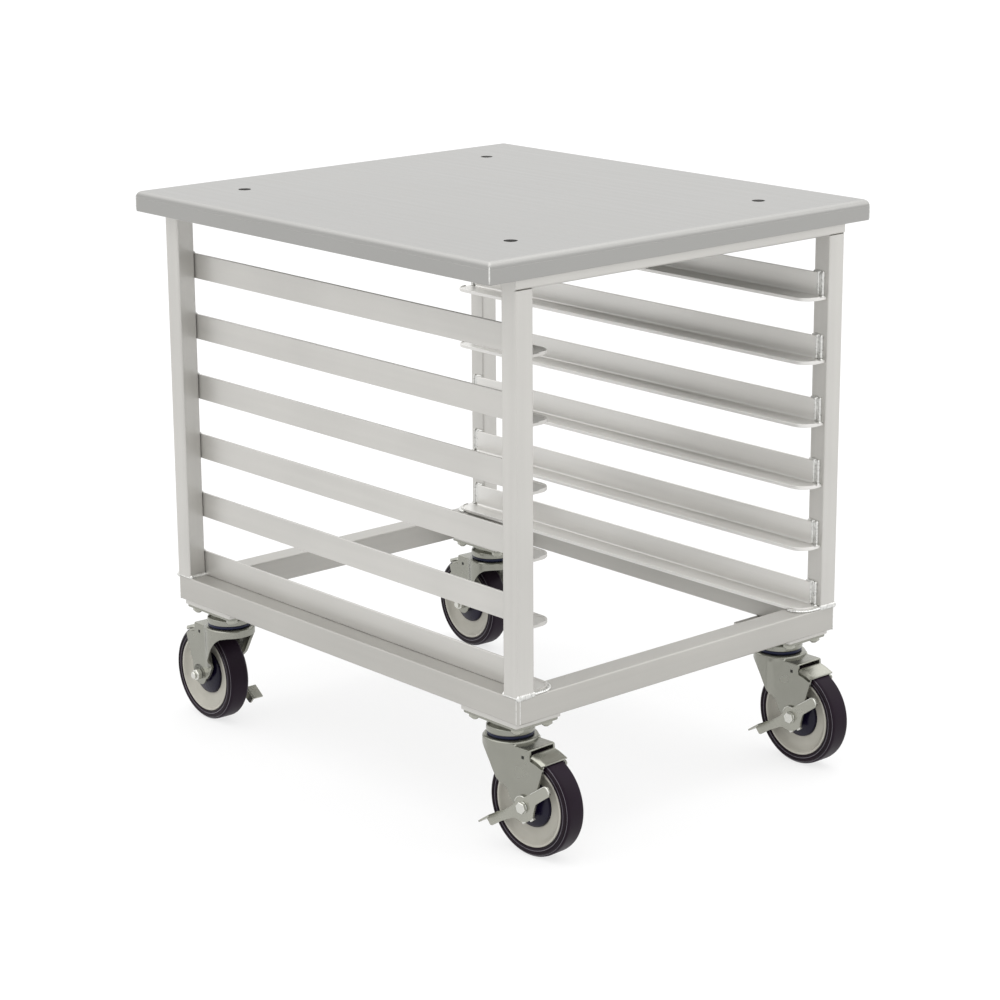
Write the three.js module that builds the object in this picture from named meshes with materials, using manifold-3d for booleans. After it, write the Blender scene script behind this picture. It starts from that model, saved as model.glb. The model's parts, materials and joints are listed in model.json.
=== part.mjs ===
// Mobile sheet pan rack: welded aluminium frame with six pairs of pan slides,
// a stainless top and four swivel casters with side-lever brakes.
// Units are millimetres. X runs along the open front, Y runs back along the slides, Z is up.
// The origin is on the floor, under the middle of the rack.
import * as THREE from "three";
import { mergeVertices } from "three/addons/utils/BufferGeometryUtils.js";
import Module from "manifold-3d";

const wasm = await Module();
wasm.setup();

// ---------------------------------------------------------------- driving dimensions
const WELD_GAP = 0.3; // left between pieces that are welded or seated together
const ROUND_SIDES = 20; // flats of the casters' turned pieces

const BASE_WIDTH = 528; // X, over the base frame
const BASE_DEPTH = 660.4; // Y, over the base frame, a 26 inch sheet pan's length
const BASE_BOTTOM = 167.3; // underside of the base rails
const BASE_TUBE = 31.75; // 1-1/4 inch square tube
const LEG_TUBE = 25.4; // 1 inch square tube
const TUBE_WALL = 2.4;
const TUBE_CORNER = 2.6; // outside corner radius of the square tubes
const BASE_TOP = BASE_BOTTOM + BASE_TUBE;

const TOP_SURFACE = 703;
const TOP_WIDTH = 609.6;
const TOP_DEPTH = 666.8;
const TOP_SHEET = 1.5; // 16 gauge
const TOP_SKIRT = 25.1;
const TOP_EDGE_RADIUS = 7;
const TOP_HOLE_RADIUS = 8;
const TOP_HOLE_X = 199;
const TOP_HOLE_Y = 248.5;
const TOP_RAIL_BOTTOM = TOP_SURFACE - 37.2;
const TOP_RAIL_CORNER = 3.5; // clears the bend along the top sheet's edge

const SLIDE_LEVELS = 6;
const SLIDE_PITCH = 77.8;
const SLIDE_SHEET = 3.2;
const SLIDE_FLANGE = 31.75; // upright leg of the angle
const SLIDE_LEDGE = 34; // flat leg of the angle, under the pan
const SLIDE_BEAD_HEIGHT = 1.2; // raised bead along the ledge's free edge
const SLIDE_BEAD_WIDTH = 3.4;
const SLIDE_ROOT = 3; // fillet between flange and ledge
const SLIDE_INSET = 4; // ledge's end behind the leg's outer face
const SLIDE_FLANGE_INSET = 16; // flange's end behind the leg's outer face
const SLIDE_END_RADIUS = 20;

const WHEEL_RADIUS = 62.5;
const WHEEL_WIDTH = 31;
const CASTER_INSET_X = 38.4; // kingpin from the base's side face
const CASTER_INSET_Y = 56; // kingpin from the base's end face
const CASTER_TRAIL = 42; // axle behind the kingpin
const PAD_THICKNESS = 6.35;
const PAD_WIDTH = 69;
const PAD_LENGTH = 97;
const PLATE_THICKNESS = 3;
const PLATE_WIDTH = 66.7;
const PLATE_LENGTH = 95.3;
const BOLT_SPACING_X = 44.5;
const BOLT_SPACING_Y = 73;
const BOLT_HOLE_RADIUS = 4.3;

// angle that each caster rests at, from straight: positive turns its wheel counter-clockwise
const CASTERS = [
  { name: "front_left", side: -1, end: -1, turn: 4 },
  { name: "front_right", side: 1, end: -1, turn: 0.4 },
  { name: "back_left", side: -1, end: 1, turn: -1.4 },
  { name: "back_right", side: 1, end: 1, turn: -3.2 },
];

// ---------------------------------------------------------------- materials
function metal(name, color, roughness, metalness) {
  const material = new THREE.MeshStandardMaterial({ color, roughness, metalness });
  material.name = name;
  return material;
}
const aluminium = metal("satin_aluminium", 0xc6c5c0, 0.42, 1);
const stainless = metal("brushed_stainless", 0xc4c5c3, 0.34, 1);
const zinc = metal("zinc_plate", 0x9c9b8e, 0.36, 1);
const seal = metal("navy_seal", 0x141a3c, 0.5, 0);
const core = metal("grey_wheel_core", 0xa9a69a, 0.5, 0);
const tread = metal("dark_tyre", 0x2b2230, 0.38, 0);

// ---------------------------------------------------------------- solids
function toSolid(geometry) {
  const bare = geometry.clone();
  bare.deleteAttribute("normal");
  bare.deleteAttribute("uv");
  const merged = mergeVertices(bare, 1e-4);
  const vertProperties = new Float32Array(merged.attributes.position.array);
  const triVerts = new Uint32Array(merged.index.array);
  return new wasm.Manifold(new wasm.Mesh({ numProp: 3, vertProperties, triVerts }));
}

function toGeometry(solid) {
  const mesh = solid.getMesh();
  const geometry = new THREE.BufferGeometry();
  geometry.setAttribute("position", new THREE.BufferAttribute(Float32Array.from(mesh.vertProperties), 3));
  geometry.setIndex(new THREE.BufferAttribute(Uint32Array.from(mesh.triVerts), 1));
  geometry.computeVertexNormals();
  return geometry;
}

function joined(solids) {
  return solids.reduce((sum, solid) => sum.add(solid));
}

function box(x0, x1, y0, y1, z0, z1) {
  const geometry = new THREE.BoxGeometry(x1 - x0, y1 - y0, z1 - z0);
  geometry.translate((x0 + x1) / 2, (y0 + y1) / 2, (z0 + z1) / 2);
  return toSolid(geometry);
}

function outline(points) {
  return new THREE.Shape(points.map(([a, b]) => new THREE.Vector2(a, b)));
}

function extruded(shape, length, curveSegments) {
  return new THREE.ExtrudeGeometry(shape, { depth: length, bevelEnabled: false, steps: 1, curveSegments });
}

// shape drawn in X and Y, from height z0 to z1
function upright(shape, z0, z1, curveSegments = 8) {
  return toSolid(extruded(shape, z1 - z0, curveSegments).translate(0, 0, z0));
}

// shape drawn in X and Z, from y0 to y1
function alongY(shape, y0, y1, curveSegments = 8) {
  return toSolid(extruded(shape, y1 - y0, curveSegments).rotateX(Math.PI / 2).translate(0, y1, 0));
}

// shape drawn in Y and Z, from x0 to x1
function alongX(shape, x0, x1, curveSegments = 8) {
  const turn = new THREE.Matrix4().set(0, 0, 1, 0, 1, 0, 0, 0, 0, 1, 0, 0, 0, 0, 0, 1);
  return toSolid(extruded(shape, x1 - x0, curveSegments).applyMatrix4(turn).translate(x0, 0, 0));
}

// flats of a round face: one flat lies exactly at the bottom, its middle at the given radius
function flatSidedRadius(radius, sides) {
  return radius / Math.cos(Math.PI / sides);
}

function roundOnZ(x, y, radius, z0, z1, sides = 24) {
  const geometry = new THREE.CylinderGeometry(radius, radius, z1 - z0, sides).rotateX(Math.PI / 2);
  return toSolid(geometry.translate(x, y, (z0 + z1) / 2));
}

function roundOnX(y, z, radius, x0, x1, sides = 16) {
  const geometry = new THREE.CylinderGeometry(radius, radius, x1 - x0, sides);
  geometry.rotateY(Math.PI / sides).rotateZ(Math.PI / 2);
  return toSolid(geometry.translate((x0 + x1) / 2, y, z));
}

function hexOnX(y, z, acrossFlats, x0, x1) {
  return roundOnX(y, z, flatSidedRadius(acrossFlats / 2, 6), x0, x1, 6);
}

// profile points are [radius, height]
function turnedOnZ(profile, sides) {
  const points = profile.map(([r, h]) => new THREE.Vector2(r, h));
  return toSolid(new THREE.LatheGeometry(points, sides).rotateX(Math.PI / 2));
}

function tubeSection(width, height, corner) {
  const [a, b] = [width / 2, height / 2];
  const [innerA, innerB] = [a - TUBE_WALL, b - TUBE_WALL];
  const shape = new THREE.Shape();
  shape.moveTo(-a + corner, -b);
  shape.absarc(a - corner, -b + corner, corner, -Math.PI / 2, 0, false);
  shape.absarc(a - corner, b - corner, corner, 0, Math.PI / 2, false);
  shape.absarc(-a + corner, b - corner, corner, Math.PI / 2, Math.PI, false);
  shape.absarc(-a + corner, -b + corner, corner, Math.PI, 1.5 * Math.PI, false);
  const bore = [[-innerA, -innerB], [-innerA, innerB], [innerA, innerB], [innerA, -innerB]];
  shape.holes.push(new THREE.Path(bore.map(([u, v]) => new THREE.Vector2(u, v))));
  return shape;
}

// ---------------------------------------------------------------- assembly
const rack = new THREE.Group();
rack.name = "sheet_pan_rack";

function place(parent, name, solid, material) {
  const mesh = new THREE.Mesh(toGeometry(solid), material);
  mesh.name = name;
  parent.add(mesh);
  return mesh;
}

// stainless sheet folded down on four sides, its corners welded shut
function panShell(halfWidth, halfDepth, top, bottom, radius) {
  const section = (half) => {
    const shape = new THREE.Shape();
    shape.moveTo(-half, bottom);
    shape.lineTo(half, bottom);
    shape.lineTo(half, top - radius);
    shape.absarc(half - radius, top - radius, radius, 0, Math.PI / 2, false);
    shape.lineTo(-half + radius, top);
    shape.absarc(-half + radius, top - radius, radius, Math.PI / 2, Math.PI, false);
    return shape;
  };
  const across = alongY(section(halfWidth), -halfDepth, halfDepth, 4);
  const along = alongX(section(halfDepth), -halfWidth, halfWidth, 4);
  return across.intersect(along);
}

function topSheet() {
  const bottom = TOP_SURFACE - TOP_SKIRT;
  const halfWidth = TOP_WIDTH / 2;
  const halfDepth = TOP_DEPTH / 2;
  const outer = panShell(halfWidth, halfDepth, TOP_SURFACE, bottom, TOP_EDGE_RADIUS);
  const inner = panShell(
    halfWidth - TOP_SHEET,
    halfDepth - TOP_SHEET,
    TOP_SURFACE - TOP_SHEET,
    bottom - 1,
    TOP_EDGE_RADIUS - TOP_SHEET,
  );
  let sheet = outer.subtract(inner);
  for (const x of [-TOP_HOLE_X, TOP_HOLE_X]) {
    for (const y of [-TOP_HOLE_Y, TOP_HOLE_Y]) {
      sheet = sheet.subtract(roundOnZ(x, y, TOP_HOLE_RADIUS, bottom, TOP_SURFACE + 1, 16));
    }
  }
  return sheet;
}

// rectangular tube across the rack, under the top sheet and over two legs
function topRail(end) {
  const height = TOP_SURFACE - TOP_SHEET - WELD_GAP - TOP_RAIL_BOTTOM;
  const y = end * (BASE_DEPTH - LEG_TUBE) / 2;
  const tube = alongX(tubeSection(LEG_TUBE, height, TOP_RAIL_CORNER), -BASE_WIDTH / 2, BASE_WIDTH / 2, 3);
  return tube.translate([0, y, TOP_RAIL_BOTTOM + height / 2]);
}

function leg(side, end) {
  const tube = tubeSection(LEG_TUBE, LEG_TUBE, TUBE_CORNER);
  const x = side * (BASE_WIDTH - LEG_TUBE) / 2;
  const y = end * (BASE_DEPTH - LEG_TUBE) / 2;
  return upright(tube, BASE_TOP + WELD_GAP, TOP_RAIL_BOTTOM - WELD_GAP, 3).translate([x, y, 0]);
}

// base rails meet in mitres, so each is a tube trimmed to a trapezium in plan
function baseRail(length, otherLength, runsAlongX, sign) {
  const half = length / 2;
  const face = (sign * otherLength) / 2;
  const inside = face - sign * BASE_TUBE;
  const slack = WELD_GAP / Math.SQRT2;
  const reach = half - slack;
  const plan = [
    [-reach, face],
    [reach, face],
    [reach - BASE_TUBE, inside],
    [-reach + BASE_TUBE, inside],
  ];
  const middle = (face + inside) / 2;
  const height = BASE_BOTTOM + BASE_TUBE / 2;
  const tube = tubeSection(BASE_TUBE, BASE_TUBE, TUBE_CORNER);
  const trim = (points) => upright(counterClockwise(points), BASE_BOTTOM - 1, BASE_TOP + 1);
  if (runsAlongX) {
    return alongX(tube, -half, half, 3).translate([0, middle, height]).intersect(trim(plan));
  }
  const turned = plan.map(([a, b]) => [b, a]);
  return alongY(tube, -half, half, 3).translate([middle, 0, height]).intersect(trim(turned));
}

function counterClockwise(points) {
  const vectors = points.map(([a, b]) => new THREE.Vector2(a, b));
  return new THREE.Shape(THREE.ShapeUtils.area(vectors) < 0 ? vectors.reverse() : vectors);
}

// angle section with its flange on the legs and its ledge turned into the rack
function slide(side, level) {
  const reach = SLIDE_LEDGE;
  const section = outline([
    [0, 0],
    [reach, 0],
    [reach, SLIDE_SHEET + SLIDE_BEAD_HEIGHT],
    [reach - SLIDE_BEAD_WIDTH + 1, SLIDE_SHEET + SLIDE_BEAD_HEIGHT],
    [reach - SLIDE_BEAD_WIDTH, SLIDE_SHEET],
    [SLIDE_SHEET + SLIDE_ROOT, SLIDE_SHEET],
    [SLIDE_SHEET, SLIDE_SHEET + SLIDE_ROOT],
    [SLIDE_SHEET, SLIDE_FLANGE],
    [0, SLIDE_FLANGE],
  ]);
  const half = BASE_DEPTH / 2 - SLIDE_INSET;
  const plan = new THREE.Shape();
  plan.moveTo(-1, -half);
  plan.lineTo(reach - SLIDE_END_RADIUS, -half);
  plan.absarc(reach - SLIDE_END_RADIUS, -half + SLIDE_END_RADIUS, SLIDE_END_RADIUS, -Math.PI / 2, 0, false);
  plan.absarc(reach - SLIDE_END_RADIUS, half - SLIDE_END_RADIUS, SLIDE_END_RADIUS, 0, Math.PI / 2, false);
  plan.lineTo(-1, half);
  let angle = alongY(section, -half - 1, half + 1).intersect(upright(plan, -1, SLIDE_FLANGE + 1, 6));
  const flangeHalf = BASE_DEPTH / 2 - SLIDE_FLANGE_INSET;
  for (const sign of [-1, 1]) {
    const [y0, y1] = [sign * flangeHalf, sign * (half + 2)].sort((a, b) => a - b);
    angle = angle.subtract(box(-1, SLIDE_SHEET + SLIDE_ROOT, y0, y1, SLIDE_SHEET, SLIDE_FLANGE + 1));
  }
  if (side > 0) {
    angle = angle.mirror([1, 0, 0]);
  }
  const x = side * (BASE_WIDTH / 2 - LEG_TUBE - WELD_GAP);
  const z = BASE_TOP + WELD_GAP + (level - 1) * SLIDE_PITCH;
  return angle.translate([x, 0, z]);
}

// ---------------------------------------------------------------- caster
// A caster is drawn straight, on its own kingpin at X = Y = 0, with its wheel behind it on -Y
// and its brake lever on -X.
const PAD_TOP = BASE_BOTTOM - WELD_GAP;
const PAD_BOTTOM = BASE_BOTTOM - PAD_THICKNESS;
const PLATE_TOP = PAD_BOTTOM - WELD_GAP;
const PLATE_BOTTOM = PLATE_TOP - PLATE_THICKNESS;
const RACE_BOTTOM = 141.2;
const RACE_RADIUS = 29.5;
const SEAL_BOTTOM = 137;
const SEAL_RADIUS = 28.6;
const KINGPIN_RADIUS = 6;
const CROWN_TOP = 136.8;
const CROWN_RADIUS = 34;
const FORK_SHEET = 2.8;
const FORK_HALF = 21; // outside of the fork's side plates
const PLATFORM_TOP = 132.3; // lower deck of the fork, over the wheel
const PLATFORM_END = 50;
const AXLE_RADIUS = 4.8;
const AXLE_CLEARANCE = 0.4;
const AXLE_HEIGHT = WHEEL_RADIUS;
const SHOE_PIVOT_Y = -39.5;
const SHOE_PIVOT_Z = 121.5;

function boltHoles(solid, z0, z1) {
  let drilled = solid;
  for (const x of [-BOLT_SPACING_X / 2, BOLT_SPACING_X / 2]) {
    for (const y of [-BOLT_SPACING_Y / 2, BOLT_SPACING_Y / 2]) {
      drilled = drilled.subtract(roundOnZ(x, y, BOLT_HOLE_RADIUS, z0, z1, 8));
    }
  }
  return drilled;
}

function roundedPlate(width, length, corner, z0, z1) {
  const [a, b] = [width / 2 - corner, length / 2 - corner];
  const shape = new THREE.Shape();
  shape.absarc(a, -b, corner, -Math.PI / 2, 0, false);
  shape.absarc(a, b, corner, 0, Math.PI / 2, false);
  shape.absarc(-a, b, corner, Math.PI / 2, Math.PI, false);
  shape.absarc(-a, -b, corner, Math.PI, 1.5 * Math.PI, false);
  return boltHoles(upright(shape, z0, z1, 2), z0 - 1, z1 + 1);
}

// top plate with its pressed upper race and the riveted kingpin that hangs the fork
function topPlate() {
  const plate = roundedPlate(PLATE_WIDTH, PLATE_LENGTH, 5, PLATE_BOTTOM, PLATE_TOP);
  const rivetTop = CROWN_TOP - FORK_SHEET - 0.6;
  const race = turnedOnZ(
    [
      [0, PLATE_TOP - 0.5],
      [0, rivetTop - 4],
      [KINGPIN_RADIUS + 3, rivetTop - 4],
      [KINGPIN_RADIUS + 4, rivetTop],
      [KINGPIN_RADIUS, rivetTop],
      [KINGPIN_RADIUS, RACE_BOTTOM],
      [RACE_RADIUS, RACE_BOTTOM],
      [RACE_RADIUS, RACE_BOTTOM + 8],
      [RACE_RADIUS - 4, PLATE_BOTTOM - 3],
      [RACE_RADIUS - 4, PLATE_TOP - 0.5],
      [0, PLATE_TOP - 0.5],
    ],
    ROUND_SIDES,
  );
  return plate.add(race);
}

function swivelSeal() {
  const inner = KINGPIN_RADIUS + 1;
  const top = RACE_BOTTOM - WELD_GAP;
  return turnedOnZ(
    [
      [inner, SEAL_BOTTOM + WELD_GAP],
      [SEAL_RADIUS, SEAL_BOTTOM + WELD_GAP],
      [SEAL_RADIUS, top],
      [inner, top],
      [inner, SEAL_BOTTOM + WELD_GAP],
    ],
    ROUND_SIDES,
  );
}

// plan of the fork: round about the kingpin, then straight sides towards the wheel
function forkPlan(radius, half, end) {
  const start = Math.asin(half / radius);
  const shape = new THREE.Shape();
  shape.moveTo(-half, -end);
  shape.lineTo(half, -end);
  shape.absarc(0, 0, radius, start - Math.PI / 2, 1.5 * Math.PI - start, false);
  return shape;
}

// side view of the fork's walls: apron round the front, plates tapering down to the axle
function forkSide() {
  const bossRadius = 14;
  const bossRise = bossRadius * Math.SQRT1_2;
  const shape = new THREE.Shape();
  shape.moveTo(CROWN_RADIUS + 2, CROWN_TOP);
  shape.lineTo(CROWN_RADIUS + 2, 126.5);
  shape.lineTo(25, 126.5);
  shape.quadraticCurveTo(12, 122, 0, 101);
  shape.quadraticCurveTo(-13, 84, -CASTER_TRAIL + bossRise, AXLE_HEIGHT + bossRise);
  shape.absarc(-CASTER_TRAIL, AXLE_HEIGHT, bossRadius, Math.PI / 4, Math.PI, true);
  shape.lineTo(-57.5, 76);
  shape.quadraticCurveTo(-64, 92, -70, 111);
  shape.lineTo(-69, 114);
  shape.lineTo(-PLATFORM_END - 1, 121.5);
  shape.lineTo(-PLATFORM_END, CROWN_TOP);
  return shape;
}

function fork() {
  const innerHalf = FORK_HALF - FORK_SHEET;
  const innerRadius = CROWN_RADIUS - FORK_SHEET;
  const tail = 80;
  const crownUnder = CROWN_TOP - FORK_SHEET;
  const platformUnder = PLATFORM_TOP - FORK_SHEET;
  const wallOuter = upright(forkPlan(CROWN_RADIUS, FORK_HALF, tail), 40, platformUnder, 5);
  const wallInner = upright(forkPlan(innerRadius, innerHalf, tail + 1), 39, CROWN_TOP, 5);
  const walls = wallOuter.subtract(wallInner).intersect(alongX(forkSide(), -50, 50, 4));
  const deck = upright(forkPlan(CROWN_RADIUS, FORK_HALF, PLATFORM_END), platformUnder, PLATFORM_TOP, 5);
  const hollow = roundOnZ(0, 0, innerRadius, platformUnder - 1, crownUnder);
  const raised = roundOnZ(0, 0, CROWN_RADIUS - 0.4, platformUnder, CROWN_TOP);
  let body = joined([walls, deck, raised]).subtract(hollow);
  body = body.subtract(roundOnZ(0, 0, KINGPIN_RADIUS + 1, 100, CROWN_TOP + 1, 16));
  body = body.subtract(roundOnX(SHOE_PIVOT_Y, SHOE_PIVOT_Z, 2.5, -40, 40, 8));
  return body.subtract(roundOnX(-CASTER_TRAIL, AXLE_HEIGHT, AXLE_RADIUS + AXLE_CLEARANCE, -40, 40, 12));
}

// axle bolt with its head outside the lever and its nut on the far plate
const LEVER_SHEET = 2.6;
const LEVER_OUTER = FORK_HALF + 0.3 + LEVER_SHEET;

function axleBolt() {
  const [y, z] = [-CASTER_TRAIL, AXLE_HEIGHT];
  const head = hexOnX(y, z, 13, -LEVER_OUTER - 0.3 - 5.3, -LEVER_OUTER - 0.3);
  const shank = roundOnX(y, z, AXLE_RADIUS, -LEVER_OUTER - 1, FORK_HALF + 11, 12);
  const nut = hexOnX(y, z, 13, FORK_HALF + 0.3, FORK_HALF + 7.3);
  return joined([head, shank, nut]);
}

// turned about the axle: half-section points are [radius, x], drawn on one side and mirrored
function wheelRing(profile, sides) {
  const closed = [...profile, ...profile.map(([r, x]) => [r, -x]).reverse(), profile[0]];
  const points = closed.map(([r, x]) => new THREE.Vector2(flatSidedRadius(r, sides), x));
  const ring = new THREE.LatheGeometry(points, sides).rotateY(Math.PI / sides).rotateZ(-Math.PI / 2);
  return toSolid(ring.translate(0, -CASTER_TRAIL, AXLE_HEIGHT));
}

const TYRE_INNER = 50.8;
const WHEEL_SIDES = 24;

function wheelCore() {
  return wheelRing(
    [
      [AXLE_RADIUS + AXLE_CLEARANCE, -17.2],
      [12, -17.2],
      [14, -11],
      [46, -7],
      [TYRE_INNER - WELD_GAP, -14],
    ],
    WHEEL_SIDES,
  );
}

function tyre() {
  const half = WHEEL_WIDTH / 2;
  return wheelRing(
    [
      [TYRE_INNER, -14],
      [56, -half],
      [59.5, -half],
      [WHEEL_RADIUS, -half + 3.5],
    ],
    WHEEL_SIDES,
  );
}

// two-armed stamped lever on the axle, its leading arm turned out as a pedal
function brakeLever() {
  const tilt = THREE.MathUtils.degToRad(35);
  const plate = new THREE.Shape();
  plate.moveTo(-14, 9);
  plate.lineTo(-47, 9);
  plate.absarc(-47, 5.2, 3.8, Math.PI / 2, Math.PI, false);
  plate.lineTo(-50.8, -0.6);
  plate.lineTo(-47.5, -4.2);
  plate.lineTo(-22, -4.8);
  plate.lineTo(-12.4, -11.8);
  plate.lineTo(-5.7, -17.5);
  plate.lineTo(4, -17);
  plate.lineTo(11.6, -14.2);
  plate.lineTo(16.9, -8.9);
  plate.lineTo(23, -4.6);
  plate.lineTo(44, -1.6);
  plate.lineTo(61, -1);
  plate.lineTo(64.5, 10.4);
  plate.lineTo(44, 10.4);
  plate.lineTo(30, 8);
  plate.lineTo(15.7, 7.7);
  plate.absarc(0, 3.5, 10.5, Math.PI / 5, (4 * Math.PI) / 5, false);
  const arm = alongX(plate, -LEVER_OUTER, -LEVER_OUTER + LEVER_SHEET, 3);
  const pedal = box(-LEVER_OUTER - 14, -LEVER_OUTER + LEVER_SHEET, 44, 64.5, 8, 10.4);
  const bore = roundOnX(0, 0, AXLE_RADIUS + AXLE_CLEARANCE, -60, 0, 12);
  const lever = arm.add(pedal).subtract(bore);
  const swing = new THREE.Matrix4().makeRotationX(-tilt).setPosition(0, -CASTER_TRAIL, AXLE_HEIGHT);
  return lever.transform(swing.elements);
}

// channel-shaped shoe hung inside the fork, its flared lip over the tread
function brakeShoe() {
  const cheekOuter = FORK_HALF - FORK_SHEET - 0.4;
  const cheekInner = WHEEL_WIDTH / 2 + 0.6;
  const side = new THREE.Shape();
  side.moveTo(SHOE_PIVOT_Y, SHOE_PIVOT_Z - 5);
  side.lineTo(-68, 112);
  side.lineTo(-70, 121.3);
  side.lineTo(-54, 127);
  side.lineTo(SHOE_PIVOT_Y, SHOE_PIVOT_Z + 5);
  side.absarc(SHOE_PIVOT_Y, SHOE_PIVOT_Z, 5, Math.PI / 2, -Math.PI / 2, true);
  const cheeks = alongX(side, -cheekOuter, cheekOuter, 4).subtract(
    box(-cheekInner, cheekInner, -90, 0, 100, 140),
  );
  const lipSide = outline([
    [-53, 126],
    [-54, 127.8],
    [-74, 121.2],
    [-73.6, 119.2],
  ]);
  const lipHalf = 19.5;
  const lip = alongX(lipSide, -lipHalf, lipHalf);
  const pin = roundOnX(SHOE_PIVOT_Y, SHOE_PIVOT_Z, 2, -FORK_HALF, -cheekInner, 8);
  const farPin = roundOnX(SHOE_PIVOT_Y, SHOE_PIVOT_Z, 2, cheekInner, FORK_HALF, 8);
  return joined([cheeks, lip, pin, farPin]);
}

// ---------------------------------------------------------------- build the rack
const LEFT_RIGHT = [["left", -1], ["right", 1]];
const FRONT_BACK = [["front", -1], ["back", 1]];

place(rack, "top_sheet", topSheet(), stainless);
for (const [endName, end] of FRONT_BACK) {
  place(rack, `top_rail_${endName}`, topRail(end), aluminium);
  place(rack, `base_rail_${endName}`, baseRail(BASE_WIDTH, BASE_DEPTH, true, end), aluminium);
  for (const [sideName, side] of LEFT_RIGHT) {
    place(rack, `leg_${endName}_${sideName}`, leg(side, end), aluminium);
  }
}
for (const [sideName, side] of LEFT_RIGHT) {
  place(rack, `base_rail_${sideName}`, baseRail(BASE_DEPTH, BASE_WIDTH, false, side), aluminium);
  for (let level = 1; level <= SLIDE_LEVELS; level += 1) {
    place(rack, `slide_${sideName}_${level}`, slide(side, level), aluminium);
  }
}

for (const { name, side, end, turn } of CASTERS) {
  const mounting = new THREE.Group();
  mounting.position.set(side * (BASE_WIDTH / 2 - CASTER_INSET_X), end * (BASE_DEPTH / 2 - CASTER_INSET_Y), 0);
  rack.add(mounting);
  place(mounting, `caster_pad_${name}`, roundedPlate(PAD_WIDTH, PAD_LENGTH, 2, PAD_BOTTOM, PAD_TOP), aluminium);
  place(mounting, `caster_plate_${name}`, topPlate(), zinc);
  place(mounting, `swivel_seal_${name}`, swivelSeal(), seal);

  const swivel = new THREE.Group();
  const facing = end < 0 ? 0 : 180;
  swivel.rotation.z = THREE.MathUtils.degToRad(facing + turn);
  mounting.add(swivel);
  place(swivel, `fork_${name}`, fork(), zinc);
  place(swivel, `axle_bolt_${name}`, axleBolt(), zinc);
  place(swivel, `wheel_core_${name}`, wheelCore(), core);
  place(swivel, `tyre_${name}`, tyre(), tread);
  place(swivel, `brake_lever_${name}`, brakeLever(), zinc);
  place(swivel, `brake_shoe_${name}`, brakeShoe(), zinc);
}

export default rack;
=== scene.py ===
"""Sheet pan rack: fine shapes, materials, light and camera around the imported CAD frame."""
import json
import math

import bmesh
import bpy
from mathutils import Matrix, Vector


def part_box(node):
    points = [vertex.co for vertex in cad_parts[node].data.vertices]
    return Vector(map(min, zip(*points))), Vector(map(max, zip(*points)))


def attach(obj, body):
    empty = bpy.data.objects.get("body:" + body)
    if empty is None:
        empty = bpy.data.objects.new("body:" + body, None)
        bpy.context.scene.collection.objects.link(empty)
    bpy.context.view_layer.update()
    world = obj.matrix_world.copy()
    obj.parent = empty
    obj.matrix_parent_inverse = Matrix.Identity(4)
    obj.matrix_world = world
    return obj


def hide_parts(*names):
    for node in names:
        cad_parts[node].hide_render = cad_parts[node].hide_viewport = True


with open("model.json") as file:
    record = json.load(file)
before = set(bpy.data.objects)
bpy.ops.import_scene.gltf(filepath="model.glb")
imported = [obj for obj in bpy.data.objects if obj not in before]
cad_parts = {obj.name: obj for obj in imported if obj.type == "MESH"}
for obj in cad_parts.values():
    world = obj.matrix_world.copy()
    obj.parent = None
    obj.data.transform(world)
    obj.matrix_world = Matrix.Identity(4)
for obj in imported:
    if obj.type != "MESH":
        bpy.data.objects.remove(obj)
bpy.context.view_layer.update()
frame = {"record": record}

MM = 0.001
JOINTS = {joint["name"]: joint for joint in frame["record"]["behaviour"]["joints"]}
CORNERS = ("front_left", "front_right", "back_left", "back_right")
LEVELS = range(1, 7)


def node_box(node):
    """Lowest and highest corner of a CAD node, in millimetres."""
    lo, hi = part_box(node)
    return Vector(lo) / MM, Vector(hi) / MM


# ---------------------------------------------------------------- materials
def new_material(name, color, metallic, roughness, **sockets):
    material = bpy.data.materials.new(name)
    material.use_nodes = True
    shader = material.node_tree.nodes["Principled BSDF"]
    shader.inputs["Base Color"].default_value = (*color, 1)
    shader.inputs["Metallic"].default_value = metallic
    shader.inputs["Roughness"].default_value = roughness
    for socket, value in sockets.items():
        shader.inputs[socket.replace("_", " ")].default_value = value
    return material, material.node_tree, shader


def noise(tree, scale, detail, stretch=(1, 1, 1)):
    """Noise in the piece's own coordinates, drawn out along an axis by stretch."""
    place = tree.nodes.new("ShaderNodeTexCoord")
    mapping = tree.nodes.new("ShaderNodeMapping")
    mapping.inputs["Scale"].default_value = stretch
    texture = tree.nodes.new("ShaderNodeTexNoise")
    texture.inputs["Scale"].default_value = scale
    texture.inputs["Detail"].default_value = detail
    tree.links.new(place.outputs["Object"], mapping.inputs["Vector"])
    tree.links.new(mapping.outputs["Vector"], texture.inputs["Vector"])
    return texture.outputs["Fac"]


def ramp(tree, source, low, high, start=0.3, end=0.7):
    node = tree.nodes.new("ShaderNodeValToRGB")
    node.color_ramp.elements[0].position = start
    node.color_ramp.elements[1].position = end
    node.color_ramp.elements[0].color = (*low, 1)
    node.color_ramp.elements[1].color = (*high, 1)
    tree.links.new(source, node.inputs["Fac"])
    return node.outputs["Color"]


def spread(tree, source, low, high):
    node = tree.nodes.new("ShaderNodeMapRange")
    node.inputs["From Min"].default_value = 0.25
    node.inputs["From Max"].default_value = 0.75
    node.inputs["To Min"].default_value = low
    node.inputs["To Max"].default_value = high
    tree.links.new(source, node.inputs["Value"])
    return node.outputs["Result"]


def bump(tree, shader, source, strength, distance):
    node = tree.nodes.new("ShaderNodeBump")
    node.inputs["Strength"].default_value = strength
    node.inputs["Distance"].default_value = distance
    tree.links.new(source, node.inputs["Height"])
    tree.links.new(node.outputs["Normal"], shader.inputs["Normal"])


def shaded(color, factor):
    return tuple(channel * factor for channel in color)


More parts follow.
